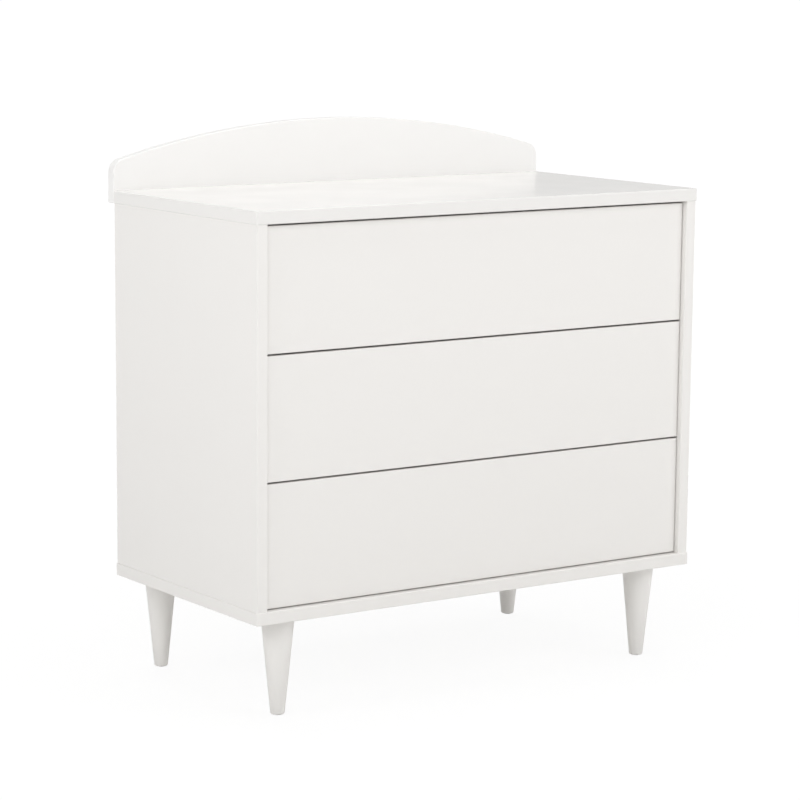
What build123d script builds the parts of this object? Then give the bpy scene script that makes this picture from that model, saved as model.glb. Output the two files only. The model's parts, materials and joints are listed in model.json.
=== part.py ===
from build123d import *
import os
from math import sqrt

# Three-drawer changing table with an arched back rail.
# Millimetres. +Z up, the drawers open towards -Y, +X is to the right of a person
# who stands in front of it. The origin is on the floor, under the middle of the
# overall box.

os.makedirs("parts", exist_ok=True)

# ---------------------------------------------------------------- dimensions
width = 1000.0            # top and bottom panel, left to right
carcass_depth = 511.0     # top panel, front edge to rear edge
rail_thickness = 22.0     # arched back rail
panel = 24.0              # top and bottom panels
board = 22.0              # side panels
leg_height = 184.0        # floor to the underside of the bottom panel
carcass_height = 740.0    # underside of the bottom panel to the top surface
overhang = 2.0            # top and bottom panel beyond the side panels
edge_r = 2.0              # rounding of the long board edges
corner_r = 4.0            # rounding of the panels' upright front corners

arch_rise = 124.0         # apex of the rail above the top surface
arch_drop = 70.6          # apex down to where the curve would meet the rail's ends
arch_shoulder_r = 28.0    # rounding between the curve and the rail's ends

front_recess = 11.0       # drawer fronts behind the side panels' front edges
front_thickness = 18.0
front_height = 226.3
front_side_gap = 1.5
front_bottom_gap = 2.0    # lowest front above the bottom panel
front_gap = 3.5           # between fronts

box_board = 15.0          # drawer sides and back
box_height = 165.0
box_length = 396.0        # drawer side, behind the front
box_lift = 20.0           # drawer side's lower edge above the front's lower edge
box_tongue = 6.0          # drawer side let into the front
bottom_thickness = 6.0    # drawer bottom
bottom_lift = 12.0        # drawer bottom above the drawer side's lower edge
groove_depth = 7.0
back_thickness = 4.0      # carcass back panel
back_inset = 10.0         # back panel in front of the carcass's rear edge

runner_gap = 12.7         # side panel to drawer side
runner_height = 45.0
runner_length = 400.0
runner_wall = 1.2
runner_setback = 4.0      # runner's front end behind the front's rear face
runner_lift = 60.0        # runner's centre line above the drawer side's lower edge
middle_length = 360.0

leg_top_r = 31.0
leg_foot_r = 13.0
leg_side_inset = 80.0     # leg axis from the panel's left or right edge
leg_front_inset = 57.5    # leg axis from the panel's front edge
leg_rear_inset = 30.0     # leg axis from the carcass's rear edge
plate_size = 56.0
plate_thickness = 2.5
glide_proud = 1.0

# ------------------------------------------------------------ derived places
total_depth = carcass_depth + rail_thickness
y_front = -total_depth / 2                 # front edge of top and bottom
y_back = y_front + carcass_depth           # rear edge of the carcass
y_rear = total_depth / 2                   # rear face of the arched rail
x_edge = width / 2
x_side_out = x_edge - overhang
x_side_in = x_side_out - board
x_side_mid = (x_side_out + x_side_in) / 2
y_side_front = y_front + overhang
z_floor_panel = leg_height                 # underside of the bottom panel
z_in_low = leg_height + panel              # inside, low
z_top = leg_height + carcass_height        # changing surface
z_in_high = z_top - panel                  # inside, high
inside_height = z_in_high - z_in_low

y_face = y_side_front + front_recess       # drawer fronts' visible faces
y_box_front = y_face + front_thickness     # rear face of the fronts
y_box_rear = y_box_front + box_length
x_front = x_side_in - front_side_gap       # half a drawer front's width
x_box = x_side_in - runner_gap             # outer face of a drawer side
x_box_in = x_box - box_board

y_panel_back = y_back - back_inset         # rear face of the thin back panel
y_panel_front = y_panel_back - back_thickness

z_fronts = {
    "bottom": z_in_low + front_bottom_gap,
    "middle": z_in_low + front_bottom_gap + front_height + front_gap,
    "top": z_in_low + front_bottom_gap + 2 * (front_height + front_gap),
}
z_boxes = {level: z + box_lift for level, z in z_fronts.items()}
z_runners = {level: z + runner_lift for level, z in z_boxes.items()}

sides = {"left": -1, "right": 1}

dowel_y = (-235.0, -20.0, 195.0)
cam_y = (-165.0, 130.0)
cam_z = 34.0              # cam axis from the end of a side panel
rail_screw_x = (-420.0, -210.0, 0.0, 210.0, 420.0)
z_rail_screw = z_top - panel / 2
runner_screw_y = (-205.0, -45.0, 115.0)

latch_y = 174.0           # front face of a latch housing
latch_length = 54.0
latch_x = 457.0           # plunger axis
plunger_r = 4.0
plunger_tip = 163.8       # plunger's front end with the drawer closed
plunger_length = 60.0


def keep(part, name):
    """Label one finished piece and write it as its own STEP file."""
    part.label = name
    export_step(part, f"parts/{name}.step")


# ------------------------------------------------------------------ carcass
# Top panel: rounded front corners and edges, square where the rail stands.
with BuildPart() as top_panel:
    with BuildSketch(Plane.XY.offset(z_in_high)) as outline:
        with Locations((0, (y_front + y_back) / 2)):
            Rectangle(width, carcass_depth)
        fillet(outline.vertices().group_by(Axis.Y)[0], corner_r)
    extrude(amount=panel)
    upper = top_panel.edges().group_by(Axis.Z)[-1]
    lower = top_panel.edges().group_by(Axis.Z)[0]
    fillet(
        (upper + lower).filter_by_position(Axis.Y, y_front - 1, y_back - 1),
        edge_r,
    )
    # dowel holes and cam bolt holes in the underside
    with BuildSketch(Plane.XY.offset(z_in_high)):
        with Locations(*[(s * x_side_mid, y) for s in (-1, 1) for y in dowel_y]):
            Circle(4.1)
    extrude(amount=12, mode=Mode.SUBTRACT)
    with BuildSketch(Plane.XY.offset(z_in_high)):
        with Locations(*[(s * x_side_mid, y) for s in (-1, 1) for y in cam_y]):
            Circle(3.6)
    extrude(amount=12, mode=Mode.SUBTRACT)
    # groove for the back panel
    with BuildSketch(Plane.XY.offset(z_in_high)):
        with Locations((0, y_panel_front + back_thickness / 2)):
            Rectangle(2 * (x_side_in + groove_depth), back_thickness + 0.2)
    extrude(amount=groove_depth, mode=Mode.SUBTRACT)
    # pilot holes for the rail's screws in the rear edge
    with BuildSketch(Plane(origin=(0, y_back, 0), x_dir=(1, 0, 0), z_dir=(0, -1, 0))):
        with Locations(*[(x, z_rail_screw) for x in rail_screw_x]):
            Circle(2.6)
    extrude(amount=40, mode=Mode.SUBTRACT)
keep(top_panel.part, "top_panel")

# Bottom panel: the same outline, with pockets for the leg plates' threaded bosses.
leg_places = {
    "front_left_leg": (-(x_edge - leg_side_inset), y_front + leg_front_inset),
    "front_right_leg": (x_edge - leg_side_inset, y_front + leg_front_inset),
    "rear_left_leg": (-(x_edge - leg_side_inset), y_back - leg_rear_inset),
    "rear_right_leg": (x_edge - leg_side_inset, y_back - leg_rear_inset),
}
plate_hole = 21.0         # plate screws from the leg's axis, both ways
plate_screws = [
    (x + dx, y + dy)
    for x, y in leg_places.values()
    for dx in (-plate_hole, plate_hole)
    for dy in (-plate_hole, plate_hole)
]
with BuildPart() as bottom_panel:
    with BuildSketch(Plane.XY.offset(z_floor_panel)) as outline:
        with Locations((0, (y_front + y_back) / 2)):
            Rectangle(width, carcass_depth)
        fillet(outline.vertices().group_by(Axis.Y)[0], corner_r)
    extrude(amount=panel)
    upper = bottom_panel.edges().group_by(Axis.Z)[-1]
    lower = bottom_panel.edges().group_by(Axis.Z)[0]
    fillet(
        (upper + lower).filter_by_position(Axis.Y, y_front - 1, y_back - 1),
        edge_r,
    )
    with BuildSketch(Plane.XY.offset(z_in_low)):
        with Locations(*[(s * x_side_mid, y) for s in (-1, 1) for y in dowel_y]):
            Circle(4.1)
    extrude(amount=-12, mode=Mode.SUBTRACT)
    with BuildSketch(Plane.XY.offset(z_in_low)):
        with Locations(*[(s * x_side_mid, y) for s in (-1, 1) for y in cam_y]):
            Circle(3.6)
    extrude(amount=-12, mode=Mode.SUBTRACT)
    with BuildSketch(Plane.XY.offset(z_in_low)):
        with Locations((0, y_panel_front + back_thickness / 2)):
            Rectangle(2 * (x_side_in + groove_depth), back_thickness + 0.2)
    extrude(amount=-groove_depth, mode=Mode.SUBTRACT)
    with BuildSketch(Plane.XY.offset(z_floor_panel)):
        with Locations(*leg_places.values()):
            Circle(8.5)
    extrude(amount=8, mode=Mode.SUBTRACT)
    with BuildSketch(Plane.XY.offset(z_floor_panel)):
        with Locations(*plate_screws):
            Circle(2.0)
    extrude(amount=14, mode=Mode.SUBTRACT)
keep(bottom_panel.part, "bottom_panel")

# Side panels, between bottom and top.
for name, s in sides.items():
    with BuildPart() as side_panel:
        with BuildSketch(Plane.XY.offset(z_in_low)) as outline:
            with Locations((s * x_side_mid, (y_side_front + y_back) / 2)):
                Rectangle(board, y_back - y_side_front)
            fillet(outline.vertices().group_by(Axis.Y)[0], edge_r)
        extrude(amount=inside_height)
        # dowel and cam bolt holes in both ends
        for z_end, into in ((z_in_low, 1), (z_in_high, -1)):
            with BuildSketch(Plane.XY.offset(z_end)):
                with Locations(*[(s * x_side_mid, y) for y in dowel_y]):
                    Circle(4.1)
            extrude(amount=into * 26, mode=Mode.SUBTRACT)
            with BuildSketch(Plane.XY.offset(z_end)):
                with Locations(*[(s * x_side_mid, y) for y in cam_y]):
                    Circle(3.8)
            extrude(amount=into * cam_z, mode=Mode.SUBTRACT)
        # cam disc pockets and runner screw holes, from the inner face
        inner = Plane(origin=(s * x_side_in, 0, 0), x_dir=(0, s, 0), z_dir=(s, 0, 0))
        with BuildSketch(inner):
            with Locations(
                *[(s * y, z) for y in cam_y for z in (z_in_low + cam_z, z_in_high - cam_z)]
            ):
                Circle(7.7)
        extrude(amount=16, mode=Mode.SUBTRACT)
        with BuildSketch(inner):
            with Locations(*[(s * y, z) for y in runner_screw_y for z in z_runners.values()]):
                Circle(1.9)
        extrude(amount=13, mode=Mode.SUBTRACT)
        # groove for the back panel
        with BuildSketch(Plane.XY.offset(z_in_low)):
            with Locations(
                (s * (x_side_in + groove_depth / 2), y_panel_front + back_thickness / 2)
            ):
                Rectangle(groove_depth, back_thickness + 0.2)
        extrude(amount=inside_height, mode=Mode.SUBTRACT)
    keep(side_panel.part, f"{name}_side_panel")

# Thin back panel in the grooves.
with BuildPart() as back_panel:
    with BuildSketch(Plane(origin=(0, y_panel_back, 0), x_dir=(1, 0, 0), z_dir=(0, -1, 0))):
        with Locations((0, (z_in_low + z_in_high) / 2)):
            Rectangle(2 * (x_side_in + groove_depth) - 1, inside_height + 2 * groove_depth - 1)
    extrude(amount=back_thickness)
keep(back_panel.part, "back_panel")

# Arched back rail: flat lower edge, one shallow arc, rounded shoulders.
z_apex = z_top + arch_rise
z_shoulder = z_apex - arch_drop
rail_plane = Plane(origin=(0, y_rear, 0), x_dir=(1, 0, 0), z_dir=(0, -1, 0))
with BuildPart() as arched_back_rail:
    with BuildSketch(rail_plane) as outline:
        with BuildLine():
            Polyline(
                (x_edge, z_shoulder), (x_edge, z_in_high),
                (-x_edge, z_in_high), (-x_edge, z_shoulder),
            )
            ThreePointArc((-x_edge, z_shoulder), (0, z_apex), (x_edge, z_shoulder))
        make_face()
        fillet(outline.vertices().group_by(Axis.Y)[-1], arch_shoulder_r)
        fillet(outline.vertices().group_by(Axis.Y)[0], 3)
    extrude(amount=rail_thickness)
    faces_edges = (
        arched_back_rail.edges().group_by(Axis.Y)[0]
        + arched_back_rail.edges().group_by(Axis.Y)[-1]
    )
    fillet(faces_edges, edge_r)
    # screws come from behind: counterbored clearance holes
    with Locations(
        *[Location(Plane(origin=(x, y_rear, z_rail_screw), z_dir=(0, 1, 0))) for x in rail_screw_x]
    ):
        CounterBoreHole(radius=2.7, counter_bore_radius=5.4, counter_bore_depth=9)
keep(arched_back_rail.part, "arched_back_rail")

# -------------------------------------------------------- carcass fastenings
with BuildPart() as carcass_dowels:
    for z_joint in (z_in_low, z_in_high):
        low = z_joint - (11 if z_joint == z_in_low else 24)
        with BuildSketch(Plane.XY.offset(low)):
            with Locations(*[(s * x_side_mid, y) for s in (-1, 1) for y in dowel_y]):
                Circle(4.0)
        extrude(amount=35)
    chamfer(carcass_dowels.edges().filter_by(GeomType.CIRCLE), 0.8)
keep(carcass_dowels.part, "carcass_dowels")

# Cam bolts: threaded end in the top or bottom panel, neck and head in the cam.
with BuildPart() as cam_bolts:
    for z_joint, into in ((z_in_low, 1), (z_in_high, -1)):
        for s in (-1, 1):
            for y in cam_y:
                with BuildSketch(
                    Plane(origin=(s * x_side_mid, y, 0), x_dir=(1, 0, 0), z_dir=(0, -1, 0))
                ):
                    with BuildLine():
                        a = z_joint - into * 11
                        b = z_joint + into * 27
                        c = z_joint + into * 30.5
                        d = z_joint + into * 33.5
                        Polyline(
                            (0, a), (3.4, a), (3.4, b), (1.8, b),
                            (1.8, c), (3.2, c), (3.2, d), (0, d), close=True,
                        )
                    make_face()
                revolve(axis=Axis((s * x_side_mid, y, 0), (0, 0, 1)))
keep(cam_bolts.part, "cam_bolts")

# Cam discs: cross slot on the face, a slot for the bolt's head inside.
with BuildPart() as cam_discs:
    for z_cam, to_joint in ((z_in_low + cam_z, -1), (z_in_high - cam_z, 1)):
        for s in (-1, 1):
            for y in cam_y:
                with BuildSketch(
                    Plane(origin=(s * (x_side_in + 0.3), y, z_cam), x_dir=(0, s, 0), z_dir=(s, 0, 0))
                ):
                    Circle(7.4)
                extrude(amount=15.4)
                # room for the bolt, from the joint to past the axis
                with BuildSketch(
                    Plane(origin=(s * x_side_mid, y, z_cam - to_joint * 2.5), z_dir=(0, 0, to_joint))
                ):
                    Circle(3.8)
                extrude(amount=12, mode=Mode.SUBTRACT)
                # driver cross
                with BuildSketch(
                    Plane(origin=(s * (x_side_in + 0.3), y, z_cam), x_dir=(0, s, 0), z_dir=(s, 0, 0))
                ):
                    Rectangle(7, 1.4)
                    Rectangle(1.4, 7)
                extrude(amount=2.2, mode=Mode.SUBTRACT)
keep(cam_discs.part, "cam_discs")

# Rail screws: flat heads at the bottom of the counterbores.
with BuildPart() as rail_screws:
    head_y = y_rear - 9
    with Locations(
        *[Location(Plane(origin=(x, head_y, z_rail_screw), z_dir=(0, 1, 0))) for x in rail_screw_x]
    ):
        Cylinder(5.0, 4.0, align=(Align.CENTER, Align.CENTER, Align.MIN))
    with Locations(
        *[Location(Plane(origin=(x, head_y + 1.0, z_rail_screw), z_dir=(0, -1, 0))) for x in rail_screw_x]
    ):
        Cylinder(2.4, 50.0, align=(Align.CENTER, Align.CENTER, Align.MIN))
    # hexagon sockets
    with BuildSketch(Plane(origin=(0, head_y + 4.0, 0), x_dir=(-1, 0, 0), z_dir=(0, 1, 0))):
        with Locations(*[(-x, z_rail_screw) for x in rail_screw_x]):
            RegularPolygon(2.2, 6)
    extrude(amount=-2.4, mode=Mode.SUBTRACT)
keep(rail_screws.part, "rail_screws")

# Flush caps over them, in the rail's rear face.
with BuildPart() as rail_screw_caps:
    with Locations(
        *[Location(Plane(origin=(x, y_rear - 2.6, z_rail_screw), z_dir=(0, 1, 0))) for x in rail_screw_x]
    ):
        Cylinder(5.3, 2.4, align=(Align.CENTER, Align.CENTER, Align.MIN))
    fillet(rail_screw_caps.edges().group_by(Axis.Y)[-1], 0.6)
keep(rail_screw_caps.part, "rail_screw_caps")

# --------------------------------------------------------------------- legs
z_leg_top = leg_height - plate_thickness
for name, (x, y) in leg_places.items():
    with BuildPart() as leg:
        with BuildSketch(Plane(origin=(x, y, 0), x_dir=(1, 0, 0), z_dir=(0, -1, 0))) as profile:
            with BuildLine():
                Polyline(
                    (0, glide_proud), (leg_foot_r, glide_proud),
                    (leg_top_r, z_leg_top), (0, z_leg_top), close=True,
                )
            make_face()
            fillet(profile.vertices().sort_by(Axis.X)[-2], 3.0)
            fillet(profile.vertices().sort_by(Axis.X)[-1], 1.0)
        revolve(axis=Axis((x, y, 0), (0, 0, 1)))
        with BuildSketch(Plane(origin=(x, y, z_leg_top))):
            Circle(4.1)
        extrude(amount=-42, mode=Mode.SUBTRACT)
        with BuildSketch(Plane(origin=(x, y, glide_proud))):
            Circle(1.3)
        extrude(amount=14, mode=Mode.SUBTRACT)
    keep(leg.part, name)

# Nail-on glides: the parts that stand on the floor.
with BuildPart() as leg_glides:
    with Locations(*[(x, y, 0) for x, y in leg_places.values()]):
        Cylinder(8.0, glide_proud, align=(Align.CENTER, Align.CENTER, Align.MIN))
        Cylinder(1.1, 13, align=(Align.CENTER, Align.CENTER, Align.MIN))
keep(leg_glides.part, "leg_glides")

# Steel plates between legs and bottom panel, with a threaded boss in the middle.
with BuildPart() as leg_plates:
    with BuildSketch(Plane.XY.offset(z_leg_top)):
        with Locations(*leg_places.values()):
            RectangleRounded(plate_size, plate_size, 6)
        with Locations(*leg_places.values()):
            Circle(4.1, mode=Mode.SUBTRACT)
    extrude(amount=plate_thickness)
    with BuildSketch(Plane.XY.offset(leg_height)):
        with Locations(*leg_places.values()):
            Circle(8.0)
            Circle(4.1, mode=Mode.SUBTRACT)
    extrude(amount=6)
    # countersinks on the leg's side
    with Locations(
        *[Location(Plane(origin=(x, y, z_leg_top), z_dir=(0, 0, -1))) for x, y in plate_screws]
    ):
        CounterSinkHole(radius=2.2, counter_sink_radius=4.0, depth=plate_thickness)
keep(leg_plates.part, "leg_plates")

with BuildPart() as leg_bolts:
    with Locations(*[(x, y, z_leg_top - 40) for x, y in leg_places.values()]):
        Cylinder(4.0, 40 + plate_thickness + 6.5, align=(Align.CENTER, Align.CENTER, Align.MIN))
    chamfer(leg_bolts.edges().filter_by(GeomType.CIRCLE), 0.7)
keep(leg_bolts.part, "leg_bolts")

with BuildPart() as leg_plate_screws:
    with Locations(*[(x, y, z_leg_top + 0.1) for x, y in plate_screws]):
        Cylinder(1.9, 13.0, align=(Align.CENTER, Align.CENTER, Align.MIN))
        Cone(3.6, 1.9, 1.7, align=(Align.CENTER, Align.CENTER, Align.MIN))
keep(leg_plate_screws.part, "leg_plate_screws")

# ------------------------------------------------------------------ drawers
for level, z_front in z_fronts.items():
    z_box = z_boxes[level]
    z_bottom = z_box + bottom_lift
    z_runner = z_runners[level]

    # Front: plain board, eased edges, grooves behind for the sides and the bottom.
    with BuildPart() as drawer_front:
        with BuildSketch(Plane.XY.offset(z_front)):
            with Locations((0, (y_face + y_box_front) / 2)):
                Rectangle(2 * x_front, front_thickness)
        extrude(amount=front_height)
        fillet(drawer_front.faces().sort_by(Axis.Y)[0].edges(), 1.2)
        with BuildSketch(Plane.XY.offset(z_box)):
            with Locations(
                *[
                    (s * (x_box - box_board / 2), y_box_front - box_tongue / 2)
                    for s in (-1, 1)
                ]
            ):
                Rectangle(box_board, box_tongue)
        extrude(amount=box_height, mode=Mode.SUBTRACT)
        with BuildSketch(Plane.XY.offset(z_bottom)):
            with Locations((0, y_box_front - box_tongue / 2)):
                Rectangle(2 * x_box_in, box_tongue)
        extrude(amount=bottom_thickness + 0.2, mode=Mode.SUBTRACT)
    keep(drawer_front.part, f"{level}_drawer_front")

    # Sides: let into the front, grooved for the bottom and for the back.
    for name, s in sides.items():
        with BuildPart() as drawer_side:
            with BuildSketch(Plane.XY.offset(z_box)):
                with Locations(
                    (
                        s * (x_box - box_board / 2),
                        (y_box_front - box_tongue + y_box_rear) / 2,
                    )
                ):
                    Rectangle(box_board, box_length + box_tongue)
            extrude(amount=box_height)
            fillet(
                drawer_side.edges().group_by(Axis.Z)[-1].filter_by(Axis.Y), 1.5
            )
            with BuildSketch(Plane.XY.offset(z_bottom)):
                with Locations(
                    (
                        s * (x_box_in + groove_depth / 2),
                        (y_box_front - box_tongue + y_box_rear - box_board / 2) / 2,
                    )
                ):
                    Rectangle(groove_depth, box_length + box_tongue - box_board / 2)
            extrude(amount=bottom_thickness + 0.2, mode=Mode.SUBTRACT)
            with BuildSketch(Plane.XY.offset(z_box)):
                with Locations(
                    (s * (x_box_in + groove_depth / 2), y_box_rear - 12 - box_board / 2)
                ):
                    Rectangle(groove_depth, box_board)
            extrude(amount=box_height - 15, mode=Mode.SUBTRACT)
            # runner screw holes, from the outer face
            outer = Plane(origin=(s * x_box, 0, 0), x_dir=(0, -s, 0), z_dir=(-s, 0, 0))
            with BuildSketch(outer):
                with Locations(*[(-s * y, z_runner) for y in runner_screw_y]):
                    Circle(1.9)
            extrude(amount=11, mode=Mode.SUBTRACT)
        keep(drawer_side.part, f"{level}_drawer_{name}_side")

    # Back: stands in the sides' grooves, lower than the sides.
    with BuildPart() as drawer_back:
        with BuildSketch(Plane.XY.offset(z_box)):
            with Locations((0, y_box_rear - 12 - box_board / 2)):
                Rectangle(2 * (x_box_in + groove_depth), box_board)
        extrude(amount=box_height - 15)
        fillet(drawer_back.edges().group_by(Axis.Z)[-1].filter_by(Axis.X), 1.5)
        with BuildSketch(Plane.XY.offset(z_bottom)):
            with Locations((0, y_box_rear - 12 - box_board + groove_depth / 2)):
                Rectangle(2 * (x_box_in + groove_depth), groove_depth)
        extrude(amount=bottom_thickness + 0.2, mode=Mode.SUBTRACT)
    keep(drawer_back.part, f"{level}_drawer_back")

    # Bottom: thin board in the grooves all round.
    y_low = y_box_front - box_tongue + 0.5
    y_high = y_box_rear - 12 - box_board + groove_depth - 0.5
    with BuildPart() as drawer_bottom:
        with BuildSketch(Plane.XY.offset(z_bottom + 0.1)):
            with Locations((0, (y_low + y_high) / 2)):
                Rectangle(2 * x_box_in, y_high - y_low)
            with Locations((0, (y_box_front + 0.5 + y_box_rear - 12 - box_board - 0.5) / 2)):
                Rectangle(
                    2 * (x_box_in + groove_depth - 0.5), box_length - 12 - box_board - 1
                )
        extrude(amount=bottom_thickness)
    keep(drawer_bottom.part, f"{level}_drawer_bottom")

    # Telescopic runners: three nested channels of bent sheet steel.
    for name, s in sides.items():
        y_run = y_box_front + runner_setback
        # cabinet member: web on the side panel, flanges towards the drawer
        with BuildPart() as cabinet_member:
            with BuildSketch(Plane.XZ.offset(-y_run)):
                with Locations((s * (x_side_in - runner_wall / 2), z_runner)):
                    Rectangle(runner_wall, runner_height)
                with Locations(
                    *[
                        (
                            s * (x_side_in - 4.75),
                            z_runner + up * (runner_height - runner_wall) / 2,
                        )
                        for up in (-1, 1)
                    ]
                ):
                    Rectangle(9.5, runner_wall)
            extrude(amount=-runner_length)
            with Locations(
                *[
                    Location(Plane(origin=(s * (x_side_in - runner_wall), y, z_runner), z_dir=(-s, 0, 0)))
                    for y in runner_screw_y
                ]
            ):
                Hole(2.2, depth=runner_wall)
        keep(cabinet_member.part, f"{level}_{name}_cabinet_runner")

        # middle member: runs between the two others
        with BuildPart() as middle_member:
            with BuildSketch(Plane.XZ.offset(-(y_run + 8))):
                with Locations((s * (x_side_in - 3.8), z_runner)):
                    Rectangle(runner_wall, 38.0)
                with Locations(
                    *[(s * (x_side_in - 6.9), z_runner + up * 18.4) for up in (-1, 1)]
                ):
                    Rectangle(7.4, runner_wall)
            extrude(amount=-middle_length)
        keep(middle_member.part, f"{level}_{name}_middle_runner")

        # drawer member: web on the drawer side, flanges towards the cabinet
        with BuildPart() as drawer_member:
            with BuildSketch(Plane.XZ.offset(-y_run)):
                with Locations((s * (x_box + runner_wall / 2), z_runner)):
                    Rectangle(runner_wall, 32.0)
                with Locations(
                    *[(s * (x_box + 3.3), z_runner + up * 15.4) for up in (-1, 1)]
                ):
                    Rectangle(6.6, runner_wall)
            extrude(amount=-(box_length - runner_setback))
            with Locations(
                *[
                    Location(Plane(origin=(s * (x_box + runner_wall), y, z_runner), z_dir=(s, 0, 0)))
                    for y in runner_screw_y
                ]
            ):
                Hole(2.2, depth=runner_wall)
        keep(drawer_member.part, f"{level}_{name}_drawer_runner")

    # Screws of the drawer members.
    with BuildPart() as drawer_screws:
        for s in (-1, 1):
            with Locations(
                *[
                    Location(Plane(origin=(s * (x_box + runner_wall), y, z_runner), z_dir=(-s, 0, 0)))
                    for y in runner_screw_y
                ]
            ):
                Cylinder(1.8, 11, align=(Align.CENTER, Align.CENTER, Align.MIN))
                Cylinder(3.6, 1.6, align=(Align.CENTER, Align.CENTER, Align.MAX))
    keep(drawer_screws.part, f"{level}_drawer_runner_screws")

    # Latch plungers: hollow pins with a rounded nose, behind the drawer sides.
    with BuildPart() as plungers:
        with Locations(
            *[
                Location(Plane(origin=(s * latch_x, plunger_tip, z_runner), z_dir=(0, 1, 0)))
                for s in (-1, 1)
            ]
        ):
            Cylinder(plunger_r, plunger_length, align=(Align.CENTER, Align.CENTER, Align.MIN))
        fillet(plungers.edges().group_by(Axis.Y)[0], 1.5)
        with Locations(
            *[
                Location(
                    Plane(origin=(s * latch_x, plunger_tip + plunger_length, z_runner), z_dir=(0, 1, 0))
                )
                for s in (-1, 1)
            ]
        ):
            Hole(2.6, depth=plunger_length - 8)
    keep(plungers.part, f"{level}_latch_plungers")

# ---------------------------------------------- runner screws and latch bodies
with BuildPart() as cabinet_runner_screws:
    for s in (-1, 1):
        with Locations(
            *[
                Location(Plane(origin=(s * (x_side_in - runner_wall), y, z), z_dir=(s, 0, 0)))
                for y in runner_screw_y
                for z in z_runners.values()
            ]
        ):
            Cylinder(1.8, 13, align=(Align.CENTER, Align.CENTER, Align.MIN))
            Cylinder(3.6, 1.6, align=(Align.CENTER, Align.CENTER, Align.MAX))
keep(cabinet_runner_screws.part, "cabinet_runner_screws")

with BuildPart() as latch_housings:
    with BuildSketch(Plane.XZ.offset(-latch_y)):
        with Locations(
            *[
                (s * (x_side_in - 13.5), z)
                for s in (-1, 1)
                for z in z_runners.values()
            ]
        ):
            Rectangle(27, 20)
    extrude(amount=-latch_length)
    fillet(latch_housings.edges().filter_by(Axis.Y), 1.5)
    with BuildSketch(Plane.XZ.offset(-latch_y)):
        with Locations(
            *[(s * latch_x, z) for s in (-1, 1) for z in z_runners.values()]
        ):
            Circle(plunger_r + 0.3)
    extrude(amount=-(latch_length - 2), mode=Mode.SUBTRACT)
keep(latch_housings.part, "latch_housings")
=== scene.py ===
import json
import math

import bpy
from mathutils import Matrix, Vector

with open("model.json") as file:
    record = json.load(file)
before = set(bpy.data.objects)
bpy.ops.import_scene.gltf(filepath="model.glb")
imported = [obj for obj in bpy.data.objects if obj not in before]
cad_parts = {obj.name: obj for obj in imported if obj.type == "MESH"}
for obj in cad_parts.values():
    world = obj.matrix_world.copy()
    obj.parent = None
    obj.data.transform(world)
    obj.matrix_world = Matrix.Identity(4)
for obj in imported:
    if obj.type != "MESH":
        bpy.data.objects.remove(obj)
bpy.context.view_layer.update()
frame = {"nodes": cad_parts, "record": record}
scene = bpy.context.scene

# ------------------------------------------------------------------ camera
# A long lens at the height of the drawers' top edge plus half a metre, in front and to the left.
CAM_AT = Vector((-3.0990, -4.4461, 1.3607))
YAW, PITCH, ROLL = math.radians(33.578), math.radians(9.769), math.radians(0.294)
fwd = Vector((math.sin(YAW) * math.cos(PITCH), math.cos(YAW) * math.cos(PITCH), -math.sin(PITCH)))
right = Vector((math.cos(YAW), -math.sin(YAW), 0.0))
up = right.cross(fwd)
r2 = right * math.cos(ROLL) + up * math.sin(ROLL)
u2 = up * math.cos(ROLL) - right * math.sin(ROLL)
cam_data = bpy.data.cameras.new("camera")
cam_data.sensor_width = 36.0
cam_data.lens = 2836.9 * 36.0 / 800.0
cam_data.shift_x = 0.075
cam_data.shift_y = 0.05625
cam_data.clip_start = 0.1
cam_data.clip_end = 200.0
cam = bpy.data.objects.new("camera", cam_data)
cam.matrix_world = Matrix((
    (r2.x, u2.x, -fwd.x, CAM_AT.x),
    (r2.y, u2.y, -fwd.y, CAM_AT.y),
    (r2.z, u2.z, -fwd.z, CAM_AT.z),
    (0.0, 0.0, 0.0, 1.0),
))
scene.collection.objects.link(cam)
scene.camera = cam


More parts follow.
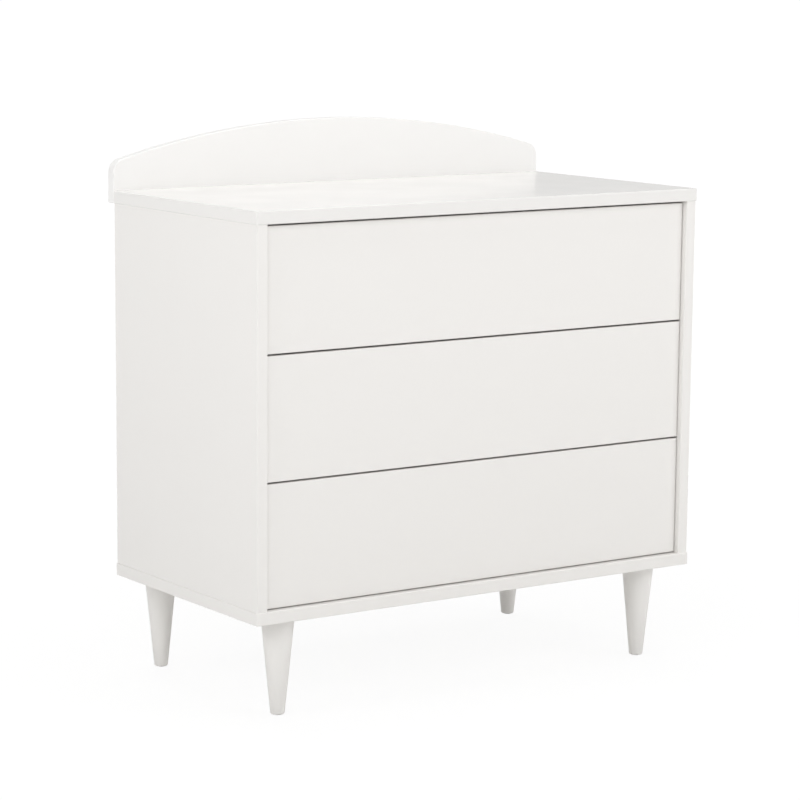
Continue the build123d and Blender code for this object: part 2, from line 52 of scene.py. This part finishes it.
# --------------------------------------------------------------- node tools
class Nodes:
    """A small helper that wires one material's node tree."""

    def __init__(self, name):
        self.mat = bpy.data.materials.new(name)
        self.mat.use_nodes = True
        self.t = self.mat.node_tree
        self.t.nodes.clear()
        self.out = self.t.nodes.new("ShaderNodeOutputMaterial")
        self.bsdf = self.t.nodes.new("ShaderNodeBsdfPrincipled")
        self.t.links.new(self.bsdf.outputs["BSDF"], self.out.inputs["Surface"])
        self.coord = self.t.nodes.new("ShaderNodeTexCoord").outputs["Object"]

    def link(self, a, b):
        self.t.links.new(a, b)

    def scaled(self, sx, sy, sz, turn=(0, 0, 0)):
        m = self.t.nodes.new("ShaderNodeMapping")
        m.inputs["Scale"].default_value = (sx, sy, sz)
        m.inputs["Rotation"].default_value = turn
        self.link(self.coord, m.inputs["Vector"])
        return m.outputs["Vector"]

    def noise(self, vector, scale, detail=3.0, rough=0.5, distortion=0.0):
        n = self.t.nodes.new("ShaderNodeTexNoise")
        n.inputs["Scale"].default_value = scale
        n.inputs["Detail"].default_value = detail
        n.inputs["Roughness"].default_value = rough
        n.inputs["Distortion"].default_value = distortion
        self.link(vector, n.inputs["Vector"])
        return n.outputs["Fac"]

    def voronoi(self, vector, scale, feature="F1"):
        n = self.t.nodes.new("ShaderNodeTexVoronoi")
        n.feature = feature
        n.inputs["Scale"].default_value = scale
        self.link(vector, n.inputs["Vector"])
        return n.outputs["Distance"]

    def ramp(self, fac, lo, hi, a, b):
        """Maps fac from lo..hi to a..b, smoothly."""
        n = self.t.nodes.new("ShaderNodeMapRange")
        n.interpolation_type = "SMOOTHSTEP"
        n.inputs["From Min"].default_value = lo
        n.inputs["From Max"].default_value = hi
        n.inputs["To Min"].default_value = a
        n.inputs["To Max"].default_value = b
        self.link(fac, n.inputs["Value"])
        return n.outputs["Result"]

    def math(self, op, a, b):
        n = self.t.nodes.new("ShaderNodeMath")
        n.operation = op
        for i, v in enumerate((a, b)):
            if isinstance(v, (int, float)):
                n.inputs[i].default_value = v
            else:
                self.link(v, n.inputs[i])
        return n.outputs[0]

    def mix(self, fac, a, b):
        n = self.t.nodes.new("ShaderNodeMix")
        n.data_type = "RGBA"
        self.link(fac, n.inputs["Factor"])
        for i, v in ((6, a), (7, b)):
            if isinstance(v, tuple):
                n.inputs[i].default_value = (*v, 1.0)
            else:
                self.link(v, n.inputs[i])
        return n.outputs[2]

    def bump(self, height, distance, strength=1.0, after=None):
        n = self.t.nodes.new("ShaderNodeBump")
        n.inputs["Strength"].default_value = strength
        n.inputs["Distance"].default_value = distance
        self.link(height, n.inputs["Height"])
        if after is not None:
            self.link(after, n.inputs["Normal"])
        return n.outputs["Normal"]

    def set(self, **values):
        for name, v in values.items():
            socket = self.bsdf.inputs[name.replace("_", " ")]
            if isinstance(v, bpy.types.NodeSocket):
                self.link(v, socket)
            elif isinstance(v, tuple):
                socket.default_value = (*v, 1.0)
            else:
                socket.default_value = v


def lacquer(name, light, dark, rough=0.3, peel=0.00006, grain=None, shine=0.5):
    """Sprayed satin lacquer: fine orange peel, slow waviness, faint tone and gloss changes."""
    n = Nodes(name)
    whole = n.scaled(1, 1, 1)
    tone = n.noise(whole, 1.1, 1.0, 0.4)
    fine = n.noise(whole, 160.0, 2.0, 0.6)
    fac = n.math("ADD", n.ramp(tone, 0.2, 0.8, 0.0, 0.6), n.ramp(fine, 0.3, 0.7, 0.0, 0.4))
    colour = n.mix(fac, light, dark)
    n.set(Base_Color=colour)
    gloss = n.noise(whole, 5.0, 2.0, 0.5)
    n.set(Roughness=n.ramp(gloss, 0.2, 0.8, rough - 0.02, rough + 0.03))
    orange = n.noise(whole, 520.0, 1.5, 0.45)
    waves = n.noise(whole, 7.0, 0.0, 0.4)
    first = n.bump(waves, 0.00015, 0.3)
    normal = n.bump(orange, peel, 0.55, first)
    if grain is not None:
        normal = n.bump(grain(n), 0.00008, 0.5, normal)
    n.set(Normal=normal, IOR=1.5, Specular_IOR_Level=shine)
    return n.mat


WARM_LIGHT = (0.868, 0.850, 0.826)
WARM_DARK = (0.860, 0.842, 0.817)


def turned(n):
    """Very faint turning rings under the lacquer of a leg."""
    rings = n.noise(n.scaled(3, 3, 420), 1.0, 2.0, 0.5)
    return rings


materials = {}
materials["white_lacquered_board"] = lacquer("lacquered_board", WARM_LIGHT, WARM_DARK)
# The arched rail is the same white lacquer as the boards, in a copy painted lighter: painted light standing in
# for the light bounced up onto it from the top panel.
rail_lacquer_painted_lighter = lacquer("lacquered_rail_painted_lighter", (0.900, 0.892, 0.878), (0.893, 0.884, 0.870), rough=0.34, shine=0.4)
# The top panel is the same white lacquer as the boards, in a copy painted darker: painted shade that offsets the
# overhead light falling on the top.
top_lacquer_painted_darker = lacquer("lacquered_top_painted_darker", (0.848, 0.835, 0.815), (0.840, 0.827, 0.806), rough=0.22, shine=0.3)
materials["white_lacquered_wood"] = lacquer(
    "lacquered_leg", WARM_LIGHT, WARM_DARK, rough=0.33, grain=turned
)

# melamine: matt, pearled
n = Nodes("melamine")
v = n.scaled(1, 1, 1)
n.set(Base_Color=n.mix(n.ramp(n.noise(v, 4.0, 4.0, 0.6), 0.3, 0.7, 0.0, 1.0), (0.80, 0.795, 0.775), (0.77, 0.765, 0.745)))
n.set(Roughness=n.ramp(n.noise(v, 40.0, 3.0), 0.3, 0.7, 0.46, 0.58))
n.set(Normal=n.bump(n.voronoi(v, 900.0), 0.00008, 0.5))
materials["white_melamine"] = n.mat

# printed hardboard: matt, faint fibres and a fine screen
n = Nodes("hardboard")
v = n.scaled(1, 1, 1)
fib = n.noise(n.scaled(420, 90, 900), 1.0, 3.0, 0.6)
flake = n.voronoi(n.scaled(1, 1, 1), 350.0)
tint = n.math("ADD", n.ramp(fib, 0.3, 0.7, 0.0, 0.7), n.ramp(flake, 0.1, 0.8, 0.0, 0.3))
n.set(Base_Color=n.mix(tint, (0.79, 0.78, 0.757), (0.762, 0.752, 0.728)))
n.set(Roughness=n.ramp(n.noise(v, 30.0, 3.0), 0.3, 0.7, 0.55, 0.7))
n.set(Normal=n.bump(n.noise(v, 700.0, 3.0, 0.7), 0.0001, 0.5))
materials["white_hardboard"] = n.mat

# beech
n = Nodes("beech")
g1 = n.noise(n.scaled(90, 90, 6), 1.0, 5.0, 0.65, 0.6)
g2 = n.noise(n.scaled(700, 700, 30), 1.0, 2.0, 0.5)
n.set(Base_Color=n.mix(n.math("MULTIPLY", g1, 0.8), (0.66, 0.47, 0.30), (0.50, 0.33, 0.19)))
n.set(Roughness=n.ramp(g2, 0.3, 0.7, 0.5, 0.65), Normal=n.bump(g2, 0.0001, 0.5))
materials["beech"] = n.mat


def metal(name, light, dark, rough, along):
    """Plated or rolled steel: streaks along the rolling direction, fine spangle."""
    n = Nodes(name)
    streak = n.noise(n.scaled(*along), 1.0, 4.0, 0.6)
    spangle = n.voronoi(n.scaled(1, 1, 1), 260.0)
    fac = n.math("ADD", n.ramp(streak, 0.3, 0.7, 0.0, 0.6), n.ramp(spangle, 0.1, 0.7, 0.0, 0.4))
    n.set(Base_Color=n.mix(fac, light, dark), Metallic=1.0)
    n.set(Roughness=n.ramp(streak, 0.3, 0.7, rough - 0.06, rough + 0.08))
    n.set(Normal=n.bump(streak, 0.00004, 0.4))
    return n.mat


materials["zinc_plated_steel"] = metal("zinc_plate", (0.72, 0.73, 0.75), (0.58, 0.59, 0.62), 0.3, (300, 300, 300))
materials["runner_steel"] = metal("runner_steel", (0.68, 0.69, 0.705), (0.61, 0.62, 0.64), 0.34, (1500, 6, 1500))
materials["zinc_die_cast"] = metal("die_cast", (0.62, 0.62, 0.63), (0.50, 0.50, 0.52), 0.42, (400, 400, 400))


def plastic(name, light, dark, rough):
    n = Nodes(name)
    v = n.scaled(1, 1, 1)
    n.set(Base_Color=n.mix(n.ramp(n.noise(v, 30.0, 4.0), 0.3, 0.7, 0.0, 1.0), light, dark))
    n.set(Roughness=n.ramp(n.noise(v, 120.0, 2.0), 0.3, 0.7, rough - 0.05, rough + 0.07))
    n.set(Normal=n.bump(n.voronoi(v, 1500.0), 0.00005, 0.5))
    return n.mat


materials["white_plastic"] = plastic("white_plastic", (0.84, 0.83, 0.81), (0.81, 0.80, 0.78), 0.42)
materials["grey_plastic"] = plastic("grey_plastic", (0.24, 0.245, 0.25), (0.20, 0.205, 0.21), 0.45)

slots = {s["node"]: s["material_slot"] for s in frame["record"]["subparts"]}
# The rail and the top panel take the copies of the board lacquer with painted light (rail painted lighter, top
# painted darker).
painted_light_copies = {"arched_back_rail": rail_lacquer_painted_lighter, "top_panel": top_lacquer_painted_darker}
for node, obj in frame["nodes"].items():
    for slot in obj.material_slots:
        slot.material = painted_light_copies.get(node, materials[slots[node]])


# ------------------------------------------------------------------- stage
def make_floor(name, z, glow_near, strength, albedo, seen_by_camera):
    """A pale floor: white far away, with a soft shadow round the object where glow_near is low."""
    mesh = bpy.data.meshes.new(name)
    s = 90.0
    mesh.from_pydata([(-s, -s, 0), (s, -s, 0), (s, s, 0), (-s, s, 0)], [], [(0, 1, 2, 3)])
    floor = bpy.data.objects.new(name, mesh)
    floor.location.z = z
    scene.collection.objects.link(floor)
    floor.visible_camera = seen_by_camera
    for kind in ("visible_diffuse", "visible_glossy", "visible_transmission", "visible_shadow"):
        setattr(floor, kind, not seen_by_camera)
    mat = bpy.data.materials.new(name)
    mat.use_nodes = True
    t = mat.node_tree
    t.nodes.clear()
    out = t.nodes.new("ShaderNodeOutputMaterial")
    mixer = t.nodes.new("ShaderNodeMixShader")
    diffuse = t.nodes.new("ShaderNodeBsdfDiffuse")
    diffuse.inputs["Color"].default_value = (*albedo, 1.0)
    glow = t.nodes.new("ShaderNodeEmission")
    glow.inputs["Color"].default_value = (1.0, 1.0, 1.0, 1.0)
    glow.inputs["Strength"].default_value = strength
    coord = t.nodes.new("ShaderNodeTexCoord")
    length = t.nodes.new("ShaderNodeVectorMath")
    length.operation = "LENGTH"
    t.links.new(coord.outputs["Object"], length.inputs[0])
    ramp = t.nodes.new("ShaderNodeMapRange")
    ramp.interpolation_type = "SMOOTHSTEP"
    ramp.inputs["From Min"].default_value = 0.4
    ramp.inputs["From Max"].default_value = 2.2
    ramp.inputs["To Min"].default_value = glow_near
    t.links.new(length.outputs["Value"], ramp.inputs["Value"])
    t.links.new(ramp.outputs["Result"], mixer.inputs[0])
    t.links.new(diffuse.outputs[0], mixer.inputs[1])
    t.links.new(glow.outputs[0], mixer.inputs[2])
    t.links.new(mixer.outputs[0], out.inputs["Surface"])
    mesh.materials.append(mat)
    return floor


make_floor("floor", -0.0004, 0.88, 1.02, (0.93, 0.93, 0.925), True)
make_floor("floor_light", -0.0006, 0.0, 0.932, (0.90, 0.90, 0.89), False)


def area(name, at, target, size, power, size_y=None):
    data = bpy.data.lights.new(name, "AREA")
    data.shape = "RECTANGLE"
    data.size = size
    data.size_y = size_y or size
    data.energy = power
    obj = bpy.data.objects.new(name, data)
    obj.location = at
    obj.rotation_euler = (Vector(target) - Vector(at)).to_track_quat("-Z", "Y").to_euler()
    scene.collection.objects.link(obj)
    return obj


area("key", (-3.0, -3.4, 3.2), (0, 0, 0.5), 2.6, 73.8)
area("left", (-4.2, -0.6, 2.6), (0, 0, 0.5), 2.4, 49.1)
area("front_right", (2.6, -3.6, 2.6), (0, 0, 0.5), 2.6, 71.2)
area("overhead", (0.0, 0.2, 4.2), (0, 0, 0.0), 3.2, 67.5)
back = area("back_fill", (0.6, 4.2, 2.6), (0, 0, 0.5), 3.0, 36.0)
back.visible_glossy = False

# The room: dim in front and above, brighter walls to the left, right and back; white where nothing stands.
world = bpy.data.worlds.new("studio")
world.use_nodes = True
scene.world = world
wt = world.node_tree
wt.nodes.clear()
w_out = wt.nodes.new("ShaderNodeOutputWorld")
w_mix = wt.nodes.new("ShaderNodeMixShader")
w_room = wt.nodes.new("ShaderNodeBackground")
w_room.inputs["Color"].default_value = (1.0, 1.0, 1.0, 1.0)
w_coord = wt.nodes.new("ShaderNodeTexCoord")
w_axes = wt.nodes.new("ShaderNodeSeparateXYZ")
wt.links.new(w_coord.outputs["Generated"], w_axes.inputs[0])


def wall(factor, value, axis="X"):
    """factor times x (or y), no lower than zero, added to value."""
    times = wt.nodes.new("ShaderNodeMath")
    times.operation = "MULTIPLY"
    times.inputs[1].default_value = factor
    wt.links.new(w_axes.outputs[axis], times.inputs[0])
    floor_at = wt.nodes.new("ShaderNodeMath")
    floor_at.operation = "MAXIMUM"
    floor_at.inputs[1].default_value = 0.0
    wt.links.new(times.outputs[0], floor_at.inputs[0])
    total = wt.nodes.new("ShaderNodeMath")
    total.operation = "ADD"
    wt.links.new(floor_at.outputs[0], total.inputs[0])
    if isinstance(value, float):
        total.inputs[1].default_value = value
    else:
        wt.links.new(value, total.inputs[1])
    return total.outputs[0]


wt.links.new(wall(0.26, wall(0.44, wall(-0.12, 0.085)), "Y"), w_room.inputs["Strength"])
w_back = wt.nodes.new("ShaderNodeBackground")
w_back.inputs["Color"].default_value = (1.0, 1.0, 1.0, 1.0)
w_back.inputs["Strength"].default_value = 1.02
w_path = wt.nodes.new("ShaderNodeLightPath")
wt.links.new(w_path.outputs["Is Camera Ray"], w_mix.inputs[0])
wt.links.new(w_room.outputs[0], w_mix.inputs[1])
wt.links.new(w_back.outputs[0], w_mix.inputs[2])
wt.links.new(w_mix.outputs[0], w_out.inputs["Surface"])

scene.view_settings.view_transform = "Standard"
scene.view_settings.look = "None"
scene.view_settings.exposure = 0.0
scene.view_settings.gamma = 1.0
